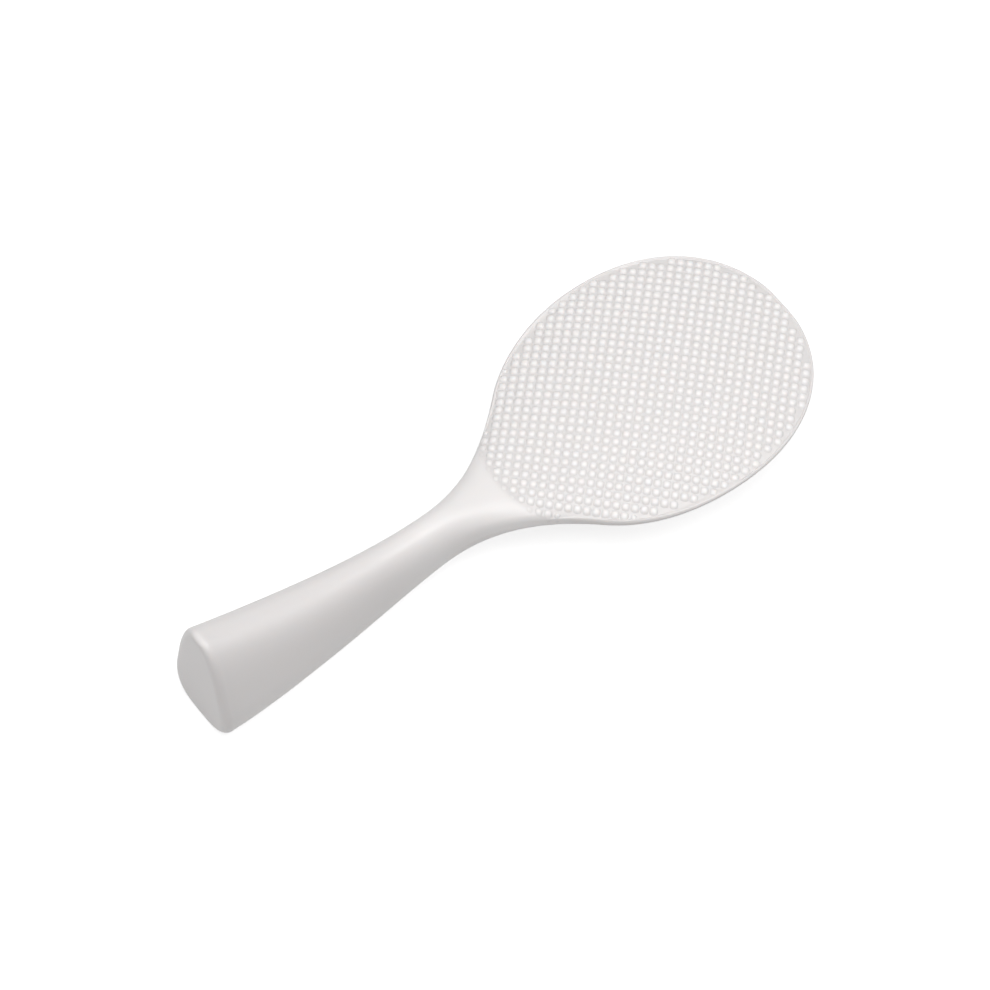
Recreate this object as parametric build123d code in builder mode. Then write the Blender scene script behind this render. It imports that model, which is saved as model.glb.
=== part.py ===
from build123d import *
import os
from math import asin, cos, degrees, exp, pi, radians, sin

os.makedirs("parts", exist_ok=True)

# Self-standing rice paddle, in millimetres. It lies on the flat underside of its handle with the
# bumped side of the blade up. X runs along the paddle towards the tip of the blade, and X = 0 is half
# way along. Y is across, and both sides of Y = 0 are the same. Z = 0 is the table. Distances named
# with _x are measured from the stand face at the handle end.

# Overall sizes
overall_length = 180.0
blade_width = 69.8
handle_width = 26.0
handle_height = 38.2
neck_width = 12.8
neck_height = 21.2

# Where the forms change, along X
underside_flat_end = 36.0
neck_x = 70.0
dip_x = 94.0
flare_end_x = 106.3
blade_middle_x = 139.5

# Blade: a thin arched oval, highest on its middle line
blade_height = 22.0
dip_height = 19.0
tip_height = 18.0
blade_thickness = 2.6
tip_thickness = 1.5
blade_arch = 3.6
arch_fade = 1.1
blade_neck_half_length = 43.9
blade_roundness = 2.17
neck_roundness = 2.0

# Section: an oval raised to a power, whose sides lean in towards the top of the handle. From the neck
# on it turns into two thin curves with a plain rim between them.
handle_squareness = 3.0
neck_squareness = 2.4
handle_lean = 0.5
neck_lean = 0.25
underside_cut = 0.5
rim_full_x = 104.0
rim_share = 0.5
rim_power = 4
side_turn = 0.06
curve_steps = 10

# Hollow handle, closed by a cap that holds the weight
shell_wall = 2.4
cavity_end_x = 62.0
seam_x = 3.6
end_rounding = 2.4
spigot_length = 9.0
spigot_wall = 1.5
fit_clearance = 0.15
weight_length = 17.0
weight_clearance = 0.25
weight_edge = 0.8

# Stations of the sections: steps along each stretch, and turns around the oval of the blade
handle_steps = 9
flare_steps = 7
blade_start_steps = 3
blade_turns = [0, 17, 34, 48, 60, 70, 78, 84]
last_turn = blade_turns[-1]
cavity_steps = 7
weight_steps = 2
rounding_steps = 4

tip_half_length = (overall_length - blade_middle_x) / sin(radians(last_turn))


def ease(start, end, share):
    """Value that leaves start and reaches end with no slope at either, for a share of 0 to 1."""
    share = min(max(share, 0), 1)
    return start + (end - start) * share * share * (3 - 2 * share)


def along(x, x_start, x_end):
    """Share of the way from x_start to x_end."""
    return (x - x_start) / (x_end - x_start)


def oval_half_width(x):
    """Half width of the blade's oval, which is a little longer towards the neck."""
    half_length = blade_neck_half_length if x < blade_middle_x else tip_half_length
    roundness = neck_roundness if x < blade_middle_x else blade_roundness
    reach = abs(x - blade_middle_x) / half_length
    return blade_width / 2 * (1 - reach**roundness) ** (1 / roundness)


def half_width(x):
    """Half width of the paddle seen from above."""
    if x <= neck_x:
        return ease(handle_width / 2, neck_width / 2, along(x, 0, neck_x))
    if x >= flare_end_x:
        return oval_half_width(x)
    end = oval_half_width(flare_end_x)
    run = (blade_middle_x - flare_end_x) / blade_neck_half_length
    slope = (blade_width / 2) ** 2 * run / (blade_neck_half_length * end)
    share = along(x, neck_x, flare_end_x)
    bend = slope * (flare_end_x - neck_x) * (share**3 - share**2)
    return ease(neck_width / 2, end, share) + bend


def top_height(x):
    """Height of the crown line that runs along the top of the paddle."""
    if x <= neck_x:
        return neck_height + (handle_height - neck_height) * (1 - along(x, 0, neck_x)) ** 2
    if x <= dip_x:
        return ease(neck_height, dip_height, along(x, neck_x, dip_x))
    if x <= blade_middle_x:
        return ease(dip_height, blade_height, along(x, dip_x, blade_middle_x))
    fall = along(x, blade_middle_x, overall_length) ** 2
    return blade_height + (tip_height - blade_height) * fall


def bottom_height(x):
    """Height of the underside on the middle line: level under the handle, then up to the blade."""
    if x <= blade_middle_x:
        blade_underside = blade_height - blade_thickness
        return ease(-underside_cut, blade_underside, along(x, underside_flat_end, blade_middle_x))
    return top_height(x) - ease(blade_thickness, tip_thickness, along(x, blade_middle_x, overall_length))


def half_section(x, inset, half):
    """Points from side to side over the top of the section at x (half 1) or under it (half -1).

    The inset draws the section in all round. The arch lowers the blade towards its rims.
    """
    bottom = bottom_height(x) + inset
    height = top_height(x) - inset - bottom
    squareness = ease(handle_squareness, neck_squareness, along(x, 0, neck_x))
    lean = ease(handle_lean, neck_lean, along(x, 0, neck_x))
    lean = ease(lean, 0, along(x, neck_x, flare_end_x))
    flatness = ease(0, 1, along(x, neck_x, rim_full_x))
    fade = exp(-arch_fade * along(x, blade_middle_x, overall_length + blade_middle_x - neck_x))
    arch = ease(0, blade_arch, along(x, neck_x, flare_end_x)) * fade
    arch = arch * (2 * half_width(x) / blade_width) ** 2
    points = []
    for step in range(curve_steps + 1):
        run = 1 - 2 * step / curve_steps
        angle = pi / 2 - (pi / 2 - side_turn) * run
        reach = (abs(cos(angle)) ** squareness + sin(angle) ** squareness) ** (-1 / squareness)
        across = half * (reach * cos(angle) + flatness * (run - reach * cos(angle)))
        flat_rise = 1 - (1 - rim_share) * abs(run) ** rim_power
        rise = reach * sin(angle) + flatness * (flat_rise - reach * sin(angle))
        level = (1 + half * rise) / 2
        side = across * (half_width(x) * (1 - lean * level) - inset)
        points.append((side, bottom + height * level - arch * across**2))
    return points


def across_at(x):
    """Plane that crosses the paddle at x, and looks towards the tip."""
    return Plane.YZ.offset(x - overall_length / 2)


def section(x, inset=0):
    """Closed section of the paddle at x: a curve over the top, one underneath and two thin sides."""
    plane = across_at(x)
    top = [plane.from_local_coords(point) for point in half_section(x, inset, 1)]
    under = [plane.from_local_coords(point) for point in half_section(x, inset, -1)]
    near_side = Edge.make_line(top[-1], under[0])
    far_side = Edge.make_line(under[-1], top[0])
    return Face(Wire([Edge.make_spline(top), near_side, Edge.make_spline(under), far_side]))


def stretch(x_start, x_end, steps):
    """Evenly spaced stations from x_start to x_end."""
    return [x_start + (x_end - x_start) * step / steps for step in range(steps + 1)]


first_turn = degrees(asin((blade_middle_x - flare_end_x) / blade_neck_half_length))
handle_stations = stretch(0, neck_x, handle_steps) + stretch(neck_x, flare_end_x, flare_steps)[1:]
blade_stations = []
for turn in stretch(first_turn, 0, blade_start_steps)[:-1]:
    blade_stations.append(blade_middle_x - blade_neck_half_length * sin(radians(turn)))
blade_stations += [blade_middle_x + tip_half_length * sin(radians(turn)) for turn in blade_turns]

weight_end_x = seam_x + weight_length
spigot_end_x = seam_x + spigot_length
spigot_inset = shell_wall + fit_clearance
weight_inset = spigot_inset + spigot_wall + weight_clearance

# Blade, neck and hollow handle in one moulding. The core that leaves the cavity has straight tapers.
with BuildPart() as paddle_body:
    loft([section(x) for x in handle_stations])
    loft([section(x) for x in blade_stations])
    cavity_stations = stretch(0, cavity_end_x, cavity_steps)
    loft([section(x, shell_wall) for x in cavity_stations], ruled=True, mode=Mode.SUBTRACT)
    split(bisect_by=across_at(seam_x), keep=Keep.TOP)
    split(bisect_by=Plane.XY, keep=Keep.TOP)
paddle_body.part.label = "paddle_body"

# Cap on which the paddle stands. Its edge is rounded in short steps, and its spigot fits inside the
# handle.
with BuildPart() as base_cap:
    edge_sections = []
    for turn in stretch(0, pi / 2, rounding_steps):
        edge_sections.append(section(end_rounding * (1 - cos(turn)), end_rounding * (1 - sin(turn))))
    loft([*edge_sections, section(seam_x)], ruled=True)
    loft([section(seam_x, spigot_inset), section(spigot_end_x, spigot_inset)])
    pocket_inset = spigot_inset + spigot_wall
    loft([section(seam_x, pocket_inset), section(spigot_end_x, pocket_inset)], mode=Mode.SUBTRACT)
    split(bisect_by=Plane.XY, keep=Keep.TOP)
base_cap.part.label = "base_cap"

# Steel weight, bonded into the spigot
with BuildPart() as counterweight:
    slug_stations = stretch(seam_x, weight_end_x - weight_edge, weight_steps)
    slug_end = section(weight_end_x, weight_inset + weight_edge)
    loft([*[section(x, weight_inset) for x in slug_stations], slug_end], ruled=True)
counterweight.part.label = "counterweight"

for piece in (paddle_body, base_cap, counterweight):
    export_step(piece.part, f"parts/{piece.part.label}.step")
    print(piece.part.label, "volume", round(piece.part.volume), "valid", piece.part.is_valid)
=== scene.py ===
# %% [markdown]
# # A rice paddle that stands on its own
#
# The paddle is one white polypropylene moulding: a thin arched blade covered with small bumps, a
# narrow neck, and a hollow handle that swells towards its end. A cap closes the handle and holds a
# steel weight, so that the paddle can stand upright. Here it lies level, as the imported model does.
#
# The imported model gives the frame, the weight and the sizes. Its two plastic pieces are smooth, so
# here they are made again as fine surfaces from the same formulas, and the bumps are laid on them.

import bpy
import numpy as np
from mathutils import Matrix, Vector


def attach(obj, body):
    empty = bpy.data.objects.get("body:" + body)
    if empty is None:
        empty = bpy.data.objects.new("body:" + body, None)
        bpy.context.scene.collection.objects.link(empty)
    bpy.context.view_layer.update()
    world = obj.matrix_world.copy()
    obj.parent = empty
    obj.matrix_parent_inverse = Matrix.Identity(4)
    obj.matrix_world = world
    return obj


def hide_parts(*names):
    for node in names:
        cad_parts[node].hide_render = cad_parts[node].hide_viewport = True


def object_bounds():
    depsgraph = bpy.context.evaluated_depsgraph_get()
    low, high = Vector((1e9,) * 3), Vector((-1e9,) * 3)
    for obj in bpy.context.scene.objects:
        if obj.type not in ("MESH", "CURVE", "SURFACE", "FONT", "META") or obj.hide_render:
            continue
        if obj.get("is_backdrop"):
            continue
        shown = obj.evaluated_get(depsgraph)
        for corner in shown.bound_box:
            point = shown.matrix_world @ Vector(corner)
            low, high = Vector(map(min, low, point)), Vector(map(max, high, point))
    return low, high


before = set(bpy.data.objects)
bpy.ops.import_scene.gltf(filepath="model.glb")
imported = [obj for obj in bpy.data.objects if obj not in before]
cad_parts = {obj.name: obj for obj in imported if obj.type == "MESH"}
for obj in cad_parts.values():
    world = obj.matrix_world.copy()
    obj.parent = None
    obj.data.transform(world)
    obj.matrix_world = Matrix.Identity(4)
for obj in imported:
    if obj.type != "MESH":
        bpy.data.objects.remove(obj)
cad_low, cad_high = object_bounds()
print("pieces of the model:", sorted(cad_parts))

# %% [markdown]
# ## Sizes
#
# All sizes are in millimetres. Distances along the paddle, whose names end in AT or END, are
# measured from the face at the end of the handle, and heights from the table. The model's own frame
# has its zero half way along.

# %%
# Overall sizes
LENGTH = 180.0
BLADE_WIDTH = 69.8
HANDLE_WIDTH, HANDLE_HEIGHT = 26.0, 38.2
NECK_WIDTH, NECK_HEIGHT = 12.8, 21.2

# Where the forms change, along the paddle
FLAT_END, NECK_AT, DIP_AT, FLARE_END, BLADE_MIDDLE = 36.0, 70.0, 94.0, 106.3, 139.5

# Blade: heights of its crown, thickness, arch, and the two ovals of its outline
BLADE_HEIGHT, DIP_HEIGHT, TIP_HEIGHT = 22.0, 19.0, 18.0
BLADE_THICKNESS, TIP_THICKNESS = 2.6, 1.5
ARCH, ARCH_FADE = 3.6, 1.1
NECK_HALF_LENGTH, NECK_ROUNDNESS = 43.9, 2.0
TIP_ROUNDNESS = 2.17
LAST_TURN = 84
TIP_HALF_LENGTH = (LENGTH - BLADE_MIDDLE) / np.sin(np.radians(LAST_TURN))

# Section: power of the oval, lean of its sides, and the rim that the blade gets instead of sides
HANDLE_POWER, NECK_POWER = 3.0, 2.4
HANDLE_LEAN, NECK_LEAN = 0.5, 0.25
UNDERSIDE_CUT = 0.5
RIM_FULL, RIM_SHARE, RIM_POWER, RIM_ROUND_SHARE = 104.0, 0.5, 4, 0.36
SIDE_TURN = 0.06

# Hollow handle, and the cap that closes it
WALL, CAVITY_END = 2.4, 62.0
SEAM_AT, END_ROUNDING = 3.6, 2.4
SPIGOT_LENGTH, SPIGOT_WALL, FIT = 9.0, 1.5, 0.15
TIP_ROUNDING = 0.6

# Bumps: pitch, where one of them sits, half width, and depth of the floor between them
PITCH, GRID_AT = 2.329, 138.91
BUMP_HALF = 1.14
RELIEF = 0.5

# Field of the bumps: least distance from the outline to a bump's middle, on the blade and by the
# neck, and half length of the ellipse that ends the field at the neck
RIM, RIM_AT_NECK = 1.42, 0.7
RIM_WIDENS = (108, 122)
FIELD_START, FIELD_HALF_LENGTH = 85, 50.0
RIM_FADE = (0.4, 0.9)
NECK_FADE = (0.2, 3.2)

# %% [markdown]
# ## The outline and the two height lines
#
# Seen from above, the handle eases into the neck, the neck flares into the blade, and the blade is
# an oval raised to a power. Seen from the side, one line runs along the crown and one along the
# underside. These are the model's own formulas, written for whole arrays of stations at once, so
# the fine surfaces lie exactly on the model.

# %%
def ease(start, end, share):
    """Leaves start and reaches end with no slope at either: start + (end - start)(3s^2 - 2s^3)."""
    share = np.clip(share, 0, 1)
    return start + (end - start) * share * share * (3 - 2 * share)


def along(x, first, last):
    """Share of the way from first to last."""
    return (x - first) / (last - first)


def oval_half_width(x):
    """Half width of the blade's oval: (1 - r^n)^(1/n) of the half width, r being the reach."""
    half_length = np.where(x < BLADE_MIDDLE, NECK_HALF_LENGTH, TIP_HALF_LENGTH)
    roundness = np.where(x < BLADE_MIDDLE, NECK_ROUNDNESS, TIP_ROUNDNESS)
    reach = np.clip(np.abs(x - BLADE_MIDDLE) / half_length, 0, 1)
    return BLADE_WIDTH / 2 * (1 - reach**roundness) ** (1 / roundness)


def half_width(x):
    """Half width of the paddle seen from above: handle, then flare, then oval."""
    handle = ease(HANDLE_WIDTH / 2, NECK_WIDTH / 2, along(x, 0, NECK_AT))
    end = oval_half_width(np.array(FLARE_END))
    run = (BLADE_MIDDLE - FLARE_END) / NECK_HALF_LENGTH
    slope = (BLADE_WIDTH / 2) ** 2 * run / (NECK_HALF_LENGTH * end)
    share = along(x, NECK_AT, FLARE_END)
    flare = ease(NECK_WIDTH / 2, end, share)
    flare = flare + slope * (FLARE_END - NECK_AT) * (share**3 - share**2)
    return np.where(x <= NECK_AT, handle, np.where(x >= FLARE_END, oval_half_width(x), flare))


def top_height(x):
    """Height of the crown: falls to the neck, dips, rises to the blade and falls to the tip."""
    handle = NECK_HEIGHT + (HANDLE_HEIGHT - NECK_HEIGHT) * (1 - along(x, 0, NECK_AT)) ** 2
    neck = ease(NECK_HEIGHT, DIP_HEIGHT, along(x, NECK_AT, DIP_AT))
    rise = ease(DIP_HEIGHT, BLADE_HEIGHT, along(x, DIP_AT, BLADE_MIDDLE))
    fall = BLADE_HEIGHT + (TIP_HEIGHT - BLADE_HEIGHT) * along(x, BLADE_MIDDLE, LENGTH) ** 2
    return np.where(
        x <= NECK_AT, handle, np.where(x <= DIP_AT, neck, np.where(x <= BLADE_MIDDLE, rise, fall))
    )


def bottom_height(x):
    """Height of the underside on the middle line: level under the handle, then up to the blade."""
    rise = ease(-UNDERSIDE_CUT, BLADE_HEIGHT - BLADE_THICKNESS, along(x, FLAT_END, BLADE_MIDDLE))
    blade = top_height(x) - ease(BLADE_THICKNESS, TIP_THICKNESS, along(x, BLADE_MIDDLE, LENGTH))
    return np.where(x <= BLADE_MIDDLE, rise, blade)


for place, x in (("blade", BLADE_MIDDLE), ("neck", NECK_AT)):
    print(place, "is", round(float(2 * half_width(np.array(x))), 2), "mm wide")

# %% [markdown]
# ## One section of the paddle
#
# In the handle every section is an oval raised to a power, u^n + v^n = 1, whose sides lean in
# towards the top. In the blade it is two flat curves that are arched up in the middle, with a plain
# rim between them. Between the two, each point moves in a straight line from the one to the other.
# An inset draws the section in, which gives the inside of the hollow handle and the rounded edge of
# the cap from the same formula. Only here the rim is given its small rounded edges.

# %%
HALVINGS = 26


def section_point(x, inset, share, half):
    """Side and height of a point of the section at x, where share runs from 1 to -1 over one half.

    The oval's point at an angle a is at reach (cos a, sin a), reach = (|cos|^n + |sin|^n)^(-1/n).
    The blade's point is at run = sin(share times a quarter turn), so points crowd at the rim.
    """
    bottom = bottom_height(x) + inset
    height = top_height(x) - inset - bottom
    power = ease(HANDLE_POWER, NECK_POWER, along(x, 0, NECK_AT))
    lean = ease(HANDLE_LEAN, NECK_LEAN, along(x, 0, NECK_AT))
    lean = ease(lean, 0, along(x, NECK_AT, FLARE_END))
    flatness = ease(0, 1, along(x, NECK_AT, RIM_FULL))
    fade = np.exp(-ARCH_FADE * along(x, BLADE_MIDDLE, LENGTH + BLADE_MIDDLE - NECK_AT))
    arch = ease(0, ARCH, along(x, NECK_AT, FLARE_END)) * fade
    arch = arch * (2 * half_width(x) / BLADE_WIDTH) ** 2
    run = np.sin(np.pi / 2 * share)
    angle = np.pi / 2 - (np.pi / 2 - SIDE_TURN) * share
    cosine, sine = np.cos(angle), np.sin(angle)
    reach = (np.abs(cosine) ** power + sine**power) ** (-1 / power)
    across = half * (reach * cosine + flatness * (run - reach * cosine))
    flat_rise = 1 - (1 - RIM_SHARE) * np.abs(run) ** RIM_POWER
    level = (1 + half * (reach * sine + flatness * (flat_rise - reach * sine))) / 2
    side = across * (half_width(x) * (1 - lean * level) - inset)
    rounding = np.maximum(RIM_ROUND_SHARE * RIM_SHARE * height * flatness, 1e-6)
    edge = np.clip(1 - (1 - np.abs(across)) * half_width(x) / rounding, 0, 1)
    drop = half * rounding * (1 - np.sqrt(1 - edge**2))
    return side, bottom + height * level - arch * across**2 - drop


def rings(x, inset, turns):
    """Rings of points, one for each x and its inset: over the top and back along the underside."""
    x, inset = np.asarray(x, float)[:, None], np.asarray(inset, float)[:, None]
    share = np.linspace(1, -1, turns // 2)[None, :]
    halves = [section_point(x, inset, share, half) for half in (1, -1)]
    side = np.concatenate([half[0] for half in halves], axis=1)
    z = np.concatenate([half[1] for half in halves], axis=1)
    return np.stack([np.broadcast_to(x, side.shape), side, np.maximum(z, 0)], -1)


def surface_height(x, y, half):
    """Height of the top (half 1) or the underside (half -1) over any points (x, y).

    The share whose point lies over y is found by halving the interval again and again.
    """
    low, high = -np.ones_like(y), np.ones_like(y)
    for _ in range(HALVINGS):
        share = (low + high) / 2
        beyond = section_point(x, 0, share, half)[0] * half > y * half
        low, high = np.where(beyond, low, share), np.where(beyond, share, high)
    return section_point(x, 0, share, half)[1]


# %% [markdown]
# ## Where the bumps are
#
# The bumps fill the blade up to a plain rim. Towards the neck the field ends in a wide arc of an
# ellipse and its bumps die out into the smooth surface, because there the floor between them rises
# to meet the neck. On the tool that moulds the blade the bumps are pits, cut on a square grid that
# is turned by 45 degrees.

# %%
OUTLINE_POINTS = 240
BEYOND_OVAL = 8

outline_turn = np.radians(np.linspace(-90, LAST_TURN, OUTLINE_POINTS))
outline_run = np.where(outline_turn < 0, NECK_HALF_LENGTH + BEYOND_OVAL, TIP_HALF_LENGTH)
outline_x = BLADE_MIDDLE + outline_run * np.sin(outline_turn)
outline = np.stack([outline_x, half_width(outline_x)], -1)
outline = np.vstack([outline, [LENGTH, 0]])


def rim_distance(x, y):
    """Distance from the outline, to the nearest point of its pieces, for points inside it."""
    point = np.stack([x, np.abs(y)], -1)
    nearest = np.full(x.shape, np.inf)
    for start, end in zip(outline[:-1], outline[1:]):
        run = end - start
        share = np.clip(((point - start) @ run) / (run @ run), 0, 1)
        gap = point - start - share[..., None] * run
        nearest = np.minimum(nearest, np.hypot(gap[..., 0], gap[..., 1]))
    return nearest


def neck_arc(x, y):
    """About how far a point lies inside the arc that ends the field at the neck."""
    reach = np.hypot((x - BLADE_MIDDLE) / FIELD_HALF_LENGTH, y / (BLADE_WIDTH / 2))
    return np.where(x < BLADE_MIDDLE, (1 - reach) * FIELD_HALF_LENGTH, FIELD_HALF_LENGTH)


def relief(x, y):
    """Depth of the floor between the bumps: nothing on the rim and the neck, full on the blade."""
    rim = ease(0, 1, along(rim_distance(x, y), *RIM_FADE))
    neck = ease(0, 1, along(neck_arc(x, y), *NECK_FADE))
    return RELIEF * rim * neck


# %% [markdown]
# ## From rings to an object
#
# A piece is a tube of rings with a point at each end. One function joins the rings with faces and
# closes both ends, so every piece is one closed surface whose faces look outward.

# %%
PLAIN = 0.5


def mesh_object(name, points, faces, painted_light_level):
    """An object from points in millimetres and faces, moved into the model's frame.

    The point attribute carries painted light for the finish: painted shade at 0, the plain
    colour at 0.5 and a painted highlight at 1.
    """
    mesh = bpy.data.meshes.new(name)
    points = (points - [LENGTH / 2, 0, 0]) / 1000
    groups = [f for f in faces if len(f)]
    count = sum(len(f) for f in groups)
    sizes = np.concatenate([np.full(len(f), f.shape[1]) for f in groups])
    corners = np.concatenate([f.ravel() for f in groups])
    mesh.vertices.add(len(points))
    mesh.vertices.foreach_set("co", points.ravel())
    mesh.loops.add(len(corners))
    mesh.loops.foreach_set("vertex_index", corners)
    mesh.polygons.add(count)
    mesh.polygons.foreach_set("loop_start", np.concatenate([[0], np.cumsum(sizes)[:-1]]))
    mesh.update(calc_edges=True)
    mesh.attributes.new("painted_light_level", "FLOAT", "POINT").data.foreach_set("value", painted_light_level)
    mesh.validate()
    mesh.shade_smooth()
    made = bpy.data.objects.new(name, mesh)
    bpy.context.scene.collection.objects.link(made)
    print(name, "has", int(np.sum(sizes - 2)), "triangles")
    return made


def tube(name, ring_points, start, end, painted_light_level):
    """Closed surface through the rings, from a start point to an end point."""
    count, turns = ring_points.shape[:2]
    points = np.vstack([ring_points.reshape(-1, 3), start, end])
    place = np.arange(count * turns).reshape(count, turns)
    onward = np.roll(place, -1, axis=1)
    quads = np.stack([place[:-1], onward[:-1], onward[1:], place[1:]], -1).reshape(-1, 4)
    first = np.stack([np.full(turns, count * turns), onward[0], place[0]], -1)
    last = np.stack([np.full(turns, count * turns + 1), place[-1], onward[-1]], -1)
    painted_light_level = np.append(painted_light_level.ravel(), [PLAIN, PLAIN])
    return mesh_object(name, points, [quads, first, last], painted_light_level)


def drawn_in(ring, shares):
    """Flat rings that shrink from a ring to its middle: the ring of each share, outermost first."""
    middle = ring.mean(axis=0)
    return middle + (ring - middle) * np.asarray(shares, float)[:, None, None]


def quarter(steps):
    """Sine and cosine of a quarter turn in equal steps, for a rounded edge."""
    turn = np.linspace(0, np.pi / 2, steps + 1)
    return np.sin(turn), np.cos(turn)


# %% [markdown]
# ## The moulded body
#
# The rings run from the closed end of the cavity back to the mouth of the handle, over its edge,
# and then along the outside to the tip. In the blade they are spaced by the turn round the oval, so
# they crowd where the outline turns, and the rim stays smooth. The floor of the bump field is
# pressed in on both sides. The point attribute paints shade on that floor, and paints light on
# the neck, which is not hollow, to make it whiter.

# %%
TURNS = 200
CAVITY_RINGS, HANDLE_RINGS, NECK_RINGS, BLADE_RINGS = 30, 60, 30, 270
SPACED_BY_TURN_AT, TURN_HALF_LENGTH, TIP_TURN = 95, 52.0, 83
# Painted light on the neck: how much it whitens, and where along the paddle it rises and falls.
NECK_PAINTED_LIGHT, NECK_PAINTED_LIGHT_RISE, NECK_PAINTED_LIGHT_FALL = 0.25, (48, 72), (88, 104)

cavity_x = np.linspace(CAVITY_END, SEAM_AT, CAVITY_RINGS)
cavity = rings(cavity_x, np.full(CAVITY_RINGS, WALL), TURNS)

handle_x = np.linspace(SEAM_AT, NECK_AT, HANDLE_RINGS)[:-1]
neck_x = np.linspace(NECK_AT, SPACED_BY_TURN_AT, NECK_RINGS)[:-1]
neck_turn = -np.degrees(np.arcsin((BLADE_MIDDLE - SPACED_BY_TURN_AT) / TURN_HALF_LENGTH))
blade_turn = np.radians(np.linspace(neck_turn, TIP_TURN, BLADE_RINGS))
half_run = np.where(blade_turn < 0, TURN_HALF_LENGTH, TIP_HALF_LENGTH)
blade_x = BLADE_MIDDLE + half_run * np.sin(blade_turn)
blade_x = blade_x[blade_x < LENGTH - TIP_ROUNDING]
smooth_x = np.concatenate([handle_x, neck_x, blade_x])

sine, cosine = quarter(5)
outer_x = np.concatenate([smooth_x, LENGTH - TIP_ROUNDING + TIP_ROUNDING * sine])
outer_inset = np.concatenate([np.zeros(len(smooth_x)), TIP_ROUNDING * (1 - cosine)])
outer = rings(outer_x, outer_inset, TURNS)

upward = np.where(np.arange(TURNS) < TURNS // 2, 1, -1)
on_blade = outer_x > FIELD_START
pressed = relief(outer[on_blade][..., 0], outer[on_blade][..., 1])
outer[on_blade, :, 2] -= pressed * upward

body_rings = np.concatenate([drawn_in(cavity[0], [0.4, 0.8]), cavity, outer])
# Painted light in the point attribute: painted shade on the pressed floor, painted light on the neck.
painted_light_level = np.full(body_rings.shape[:2], PLAIN)
painted_light_level[-len(outer):][on_blade] -= pressed / (2 * RELIEF)
neck_painted_light_share = ease(0, 1, along(outer_x, *NECK_PAINTED_LIGHT_RISE)) * ease(1, 0, along(outer_x, *NECK_PAINTED_LIGHT_FALL))
painted_light_level[-len(outer):] += NECK_PAINTED_LIGHT * neck_painted_light_share[:, None]
body = tube("moulded_body", body_rings, cavity[0].mean(axis=0), outer[-1].mean(axis=0), painted_light_level)

# %% [markdown]
# ## The cap
#
# The cap is a flat plate with a rounded edge and a thin spigot that holds the weight inside the
# handle. Its rings start in the middle of the flat face, go round the rounded edge, over the rim,
# along the outside of the spigot and back along its inside.

# %%
SIDE_RINGS, SPIGOT_RINGS = 3, 6
SHARP = np.radians(50)

sine, cosine = quarter(12)
edge_x, edge_inset = END_ROUNDING * (1 - cosine), END_ROUNDING * (1 - sine)
face = rings(edge_x[:1], edge_inset[:1], TURNS)[0]
side_x = np.linspace(END_ROUNDING, SEAM_AT, SIDE_RINGS + 1)[1:]
spigot_x = np.linspace(SEAM_AT, SEAM_AT + SPIGOT_LENGTH, SPIGOT_RINGS)
spigot_outer = np.full(SPIGOT_RINGS, WALL + FIT)
spigot_inner = np.full(SPIGOT_RINGS, WALL + FIT + SPIGOT_WALL)
cap_x = np.concatenate([edge_x, side_x, spigot_x, spigot_x[::-1]])
cap_inset = np.concatenate([edge_inset, np.zeros(SIDE_RINGS), spigot_outer, spigot_inner])
cap_rings = rings(cap_x, cap_inset, TURNS)

pocket = drawn_in(cap_rings[-1], [0.7, 0.35])
cap_rings = np.concatenate([drawn_in(face, [0.25, 0.5, 0.75, 0.9]), cap_rings, pocket])
painted_light_level = np.full(cap_rings.shape[:2], PLAIN)
cap = tube("cap", cap_rings, face.mean(axis=0), pocket[-1].mean(axis=0), painted_light_level)
for piece in (body, cap):
    piece.data.set_sharp_from_angle(angle=SHARP)

# %% [markdown]
# ## The bumps
#
# Each bump is a little pillow on a rounded square foot. All of them are made at once: one pattern
# of three rings and a middle is laid on every grid point of the field, and each of its points takes
# its height from the blade's own surface, so the pillows follow the arch. They keep their tops at
# the level of the plain rim, and get smaller and flatter where the field dies out. The underside of
# the blade carries the same field.

# %%
GRID_STEPS = 40
LEAST_ARC = 0.5

steps = np.arange(-GRID_STEPS, GRID_STEPS + 1)
i, j = np.meshgrid(steps, steps)
grid_x = (GRID_AT + (i - j) / np.sqrt(2) * PITCH).ravel()
grid_y = ((i + j) / np.sqrt(2) * PITCH).ravel()
inside = (grid_x > FIELD_START) & (grid_x < LENGTH) & (np.abs(grid_y) < half_width(grid_x))
grid_x, grid_y = grid_x[inside], grid_y[inside]
grid_rim = rim_distance(grid_x, grid_y)
least_rim = ease(RIM_AT_NECK, RIM, along(grid_x, *RIM_WIDENS))
kept = (grid_rim > least_rim) & (neck_arc(grid_x, grid_y) > LEAST_ARC)
grid_x, grid_y, grid_rim = grid_x[kept], grid_y[kept], grid_rim[kept]
print("bumps on one side:", len(grid_x))

# %% [markdown]
# The foot is the same oval raised to a power as the handle's sections, turned with the grid. Near
# the outline it is drawn in, so that its corners stay on the blade.

# %%
SIDES, SQUARENESS, CORNER_REACH = 12, 3.2, 1.14
RING_SHARES, RING_LEVELS = [1.0, 0.75, 0.42], [-0.05, 0.52, 0.92]
SMALLEST = 0.6
EDGE_GAP, TOP_SINK = 0.1, 0.02

corner = 2 * np.pi * (np.arange(SIDES) + 0.5) / SIDES
cosine, sine = np.cos(corner), np.sin(corner)
reach = (np.abs(cosine) ** SQUARENESS + np.abs(sine) ** SQUARENESS) ** (-1 / SQUARENESS)
foot = np.stack([reach * cosine, reach * sine], -1)
turned = np.array([[1, 1], [-1, 1]]) / np.sqrt(2)


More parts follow.
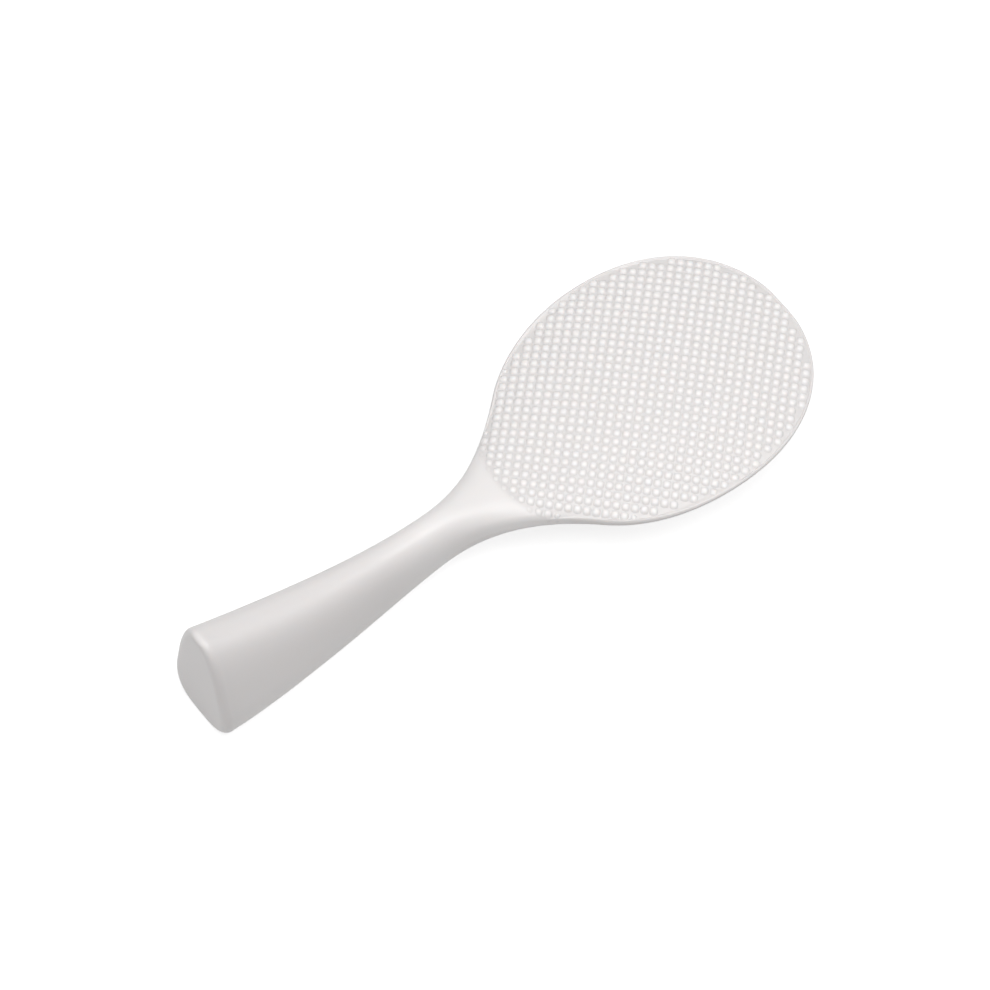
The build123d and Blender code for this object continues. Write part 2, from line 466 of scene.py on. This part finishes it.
def bump_field(name, half):
    """A pillow on every grid point, above the blade (half 1) or under it (half -1).

    Its points are three rings at falling shares of the foot, and a middle.
    """
    plan = np.concatenate([share * foot for share in RING_SHARES] + [np.zeros((1, 2))])
    plan = BUMP_HALF * plan @ turned
    level = np.append(np.repeat(RING_LEVELS, SIDES), 1)
    depth = relief(grid_x, grid_y)[:, None]
    spread = SMALLEST + (1 - SMALLEST) * depth / RELIEF
    spread = np.minimum(spread, (grid_rim[:, None] - EDGE_GAP) / (CORNER_REACH * BUMP_HALF))
    x = grid_x[:, None] + spread * plan[None, :, 0]
    y = grid_y[:, None] + spread * plan[None, :, 1]
    z = surface_height(x, y, half) - half * (depth * (1 - level) + TOP_SINK)
    points = np.stack([x, y, z], -1).reshape(-1, 3)
    place = np.arange(2 * SIDES)
    onward = place - place % SIDES + (place + 1) % SIDES
    quads = np.stack([place, onward, onward + SIDES, place + SIDES], -1)
    middle = np.full(SIDES, len(plan) - 1)
    fan = np.stack([place[:SIDES] + 2 * SIDES, onward[:SIDES] + 2 * SIDES, middle], -1)
    if half < 0:
        quads, fan = quads[:, ::-1], fan[:, ::-1]
    step = len(plan) * np.arange(len(grid_x))[:, None, None]
    faces = [(quads + step).reshape(-1, 4), (fan + step).reshape(-1, 3)]
    # Painted shade at the foot of each bump, and a painted highlight on its top.
    painted_light_level = PLAIN + depth / RELIEF * (level - PLAIN)
    return mesh_object(name, points, faces, np.clip(painted_light_level, 0, 1).ravel())


bumps_above = bump_field("bumps_above", 1)
bumps_below = bump_field("bumps_below", -1)

# %% [markdown]
# ## Finishes
#
# The plastic is white polypropylene, a little see-through, so light soaks a short way in and
# softens the grooves. The colour follows the point attribute, which carries painted light:
# painted shade makes the floor between the bumps greyer than the plain plastic, and a painted
# highlight makes their middles and the neck whiter. The polish is satin, with a very
# faint unevenness. The weight is brushed steel, and it can't be seen from outside.

# %%
def material(name, colour, roughness):
    """A new material with its colour and roughness, and its main node."""
    made = bpy.data.materials.new(name)
    made.use_nodes = True
    shader = made.node_tree.nodes["Principled BSDF"]
    shader.inputs["Base Color"].default_value = (*colour, 1)
    shader.inputs["Roughness"].default_value = roughness
    return made, shader


def add_unevenness(made, shader, scale, strength):
    """Fine noise in the piece's own coordinates, felt only as a slight bend of the reflections."""
    nodes, links = made.node_tree.nodes, made.node_tree.links
    place = nodes.new("ShaderNodeTexCoord")
    noise = nodes.new("ShaderNodeTexNoise")
    bump = nodes.new("ShaderNodeBump")
    noise.inputs["Scale"].default_value = scale
    noise.inputs["Detail"].default_value = 3
    bump.inputs["Strength"].default_value = strength
    bump.inputs["Distance"].default_value = 0.0001
    links.new(place.outputs["Object"], noise.inputs["Vector"])
    links.new(noise.outputs["Fac"], bump.inputs["Height"])
    links.new(bump.outputs["Normal"], shader.inputs["Normal"])


# Painted light: the grey is painted shade between the bumps, the brightest white a painted highlight
# on their tops and the neck. The middle white is the plastic's own colour.
PAINTED_SHADE_WHITE = (0.785, 0.76, 0.75)
PLAIN_WHITE = (0.825, 0.798, 0.79)
PAINTED_HIGHLIGHT_WHITE = (0.975, 0.95, 0.94)

plastic, shader = material("white polypropylene", PLAIN_WHITE, 0.38)
shader.inputs["IOR"].default_value = 1.49
shader.inputs["Subsurface Weight"].default_value = 0.25
shader.inputs["Subsurface Radius"].default_value = (1.0, 0.85, 0.75)
shader.inputs["Subsurface Scale"].default_value = 0.0006
nodes, links = plastic.node_tree.nodes, plastic.node_tree.links
# The painted light is read from the point attribute and spread between the grey and the white.
painted_light_level = nodes.new("ShaderNodeAttribute")
painted_light_level.attribute_name = "painted_light_level"
painted_light_ramp = nodes.new("ShaderNodeValToRGB")
painted_light_ramp.color_ramp.elements[0].color = (*PAINTED_SHADE_WHITE, 1)
painted_light_ramp.color_ramp.elements[1].color = (*PAINTED_HIGHLIGHT_WHITE, 1)
painted_light_ramp.color_ramp.elements.new(0.5).color = (*PLAIN_WHITE, 1)
links.new(painted_light_level.outputs["Fac"], painted_light_ramp.inputs["Fac"])
links.new(painted_light_ramp.outputs["Color"], shader.inputs["Base Color"])
add_unevenness(plastic, shader, 260, 0.12)

steel, shader = material("brushed steel", (0.56, 0.56, 0.57), 0.35)
shader.inputs["Metallic"].default_value = 1
add_unevenness(steel, shader, 600, 0.3)

for piece, slot in (
    (body, "white_plastic"),
    (bumps_above, "white_plastic"),
    (bumps_below, "white_plastic"),
    (cap, "cap_plastic"),
):
    piece.data.materials.append(plastic)
    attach(piece, "root")
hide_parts("paddle_body")
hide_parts("base_cap")

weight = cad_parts["counterweight"]
weight.data.materials.clear()
weight.data.materials.append(steel)

# %% [markdown]
# ## Floor, light and camera
#
# The paddle lies on a plain white table in soft light. A wide lamp hangs overhead, a little to the
# near side, and lights the blade and the top of the handle. A small low lamp beyond the end of the
# handle brightens the rounded edge of the cap. The end face and the near side of the handle get
# little of either, so they fall into a soft grey. The table and the sky are whiter to the camera,
# and in reflections, than the light that they throw on the paddle, and the table keeps the paddle's
# shadow.

# %%
TABLE_GREY, TABLE_TO_CAMERA = (0.5, 0.5, 0.5), 0.75
SKY_ON_PADDLE, SKY_TO_CAMERA = 0.22, 0.78


def white_to_camera(nodes, links, strength):
    """A value that is strength for rays from the eye, also by a reflection or glass, else nothing."""
    rays = nodes.new("ShaderNodeLightPath")
    seen = rays.outputs["Is Camera Ray"]
    for kind in ("Is Glossy Ray", "Is Transmission Ray"):
        either = nodes.new("ShaderNodeMath")
        either.operation = "MAXIMUM"
        links.new(seen, either.inputs[0])
        links.new(rays.outputs[kind], either.inputs[1])
        seen = either.outputs["Value"]
    scaled = nodes.new("ShaderNodeMath")
    scaled.operation = "MULTIPLY"
    links.new(seen, scaled.inputs[0])
    scaled.inputs[1].default_value = strength
    return scaled.outputs["Value"]


floor_mesh = bpy.data.meshes.new("table")
floor_mesh.from_pydata([(-3, -3, 0), (3, -3, 0), (3, 3, 0), (-3, 3, 0)], [], [(0, 1, 2, 3)])
floor = bpy.data.objects.new("table", floor_mesh)
bpy.context.scene.collection.objects.link(floor)
floor_paint, shader = material("white table", TABLE_GREY, 0.9)
shader.inputs["Specular IOR Level"].default_value = 0
shader.inputs["Emission Color"].default_value = (1, 1, 1, 1)
nodes, links = floor_paint.node_tree.nodes, floor_paint.node_tree.links
links.new(white_to_camera(nodes, links, TABLE_TO_CAMERA), shader.inputs["Emission Strength"])
floor_mesh.materials.append(floor_paint)
floor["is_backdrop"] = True

world = bpy.data.worlds.new("soft room")
bpy.context.scene.world = world
world.use_nodes = True
nodes, links = world.node_tree.nodes, world.node_tree.links
nodes["Background"].inputs["Color"].default_value = (1, 1, 1, 1)
room = nodes.new("ShaderNodeMath")
room.operation = "ADD"
room.inputs[1].default_value = SKY_ON_PADDLE
links.new(white_to_camera(nodes, links, SKY_TO_CAMERA), room.inputs[0])
links.new(room.outputs["Value"], nodes["Background"].inputs["Strength"])


def lamp(name, place, size, power):
    """A square area lamp at a place, in metres, that looks at the middle of the paddle."""
    data = bpy.data.lights.new(name, "AREA")
    data.size = size
    data.energy = power
    made = bpy.data.objects.new(name, data)
    made.location = place
    made.rotation_euler = (Vector((0, 0, 0.01)) - Vector(place)).to_track_quat("-Z", "Y").to_euler()
    bpy.context.scene.collection.objects.link(made)
    return made


lamp("wide lamp", (0.07, -0.2, 1.1), 1.0, 10.8)
lamp("edge lamp", (-0.9, 0.2, 0.4), 0.2, 1.1)

camera_data = bpy.data.cameras.new("camera")
camera_data.lens = 217.35
camera_data.sensor_width = 36
camera_data.clip_end = 20
camera = bpy.data.objects.new("camera", camera_data)
camera_place = Vector((-0.45975, -0.58621, 1.28540))
camera_aim = Vector((-0.00112, -0.00114, 0.01700))
camera_up = Vector((0.51534, 0.69200, 0.50553))
back = (camera_place - camera_aim).normalized()
right = camera_up.cross(back).normalized()
turn = Matrix((right, back.cross(right), back)).transposed().to_4x4()
camera.matrix_world = Matrix.Translation(camera_place) @ turn
bpy.context.scene.collection.objects.link(camera)
bpy.context.scene.camera = camera
bpy.context.scene.view_settings.view_transform = "Standard"

# %%
made_low, made_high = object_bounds()
boxes = {"model": [list(cad_low), list(cad_high)], "made": [list(made_low), list(made_high)]}
for name, (low, high) in boxes.items():
    print(name, "box in mm:", [round(v * 1000, 2) for v in (*low, *high)])
